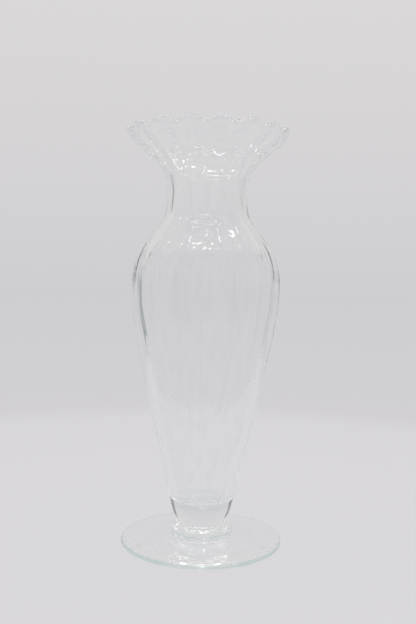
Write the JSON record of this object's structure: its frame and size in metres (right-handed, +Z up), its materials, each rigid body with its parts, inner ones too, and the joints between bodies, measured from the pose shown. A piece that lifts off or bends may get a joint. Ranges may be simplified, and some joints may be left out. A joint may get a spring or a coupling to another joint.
{
  "type": "footed vase",
  "caption": "Tall clear glass vase on a round foot, with an optic ribbed baluster bowl, a narrow neck and a ruffled, flared rim.",
  "frame": {"origin": "bottom centre of the foot, on the surface the vase stands on", "axes": "+Z up along the axis of the vase, +X through the middle of one lobe of the rim"},
  "size_m": [0.119, 0.119, 0.303],
  "materials": {
    "clear_glass": "fire-polished, clear, with a faint green tint at thick edges"
  },
  "bodies": {
    "root": {"foot": "clear_glass", "collar": "clear_glass", "stem": "clear_glass", "bowl": "clear_glass"}
  },
  "joints": []
}
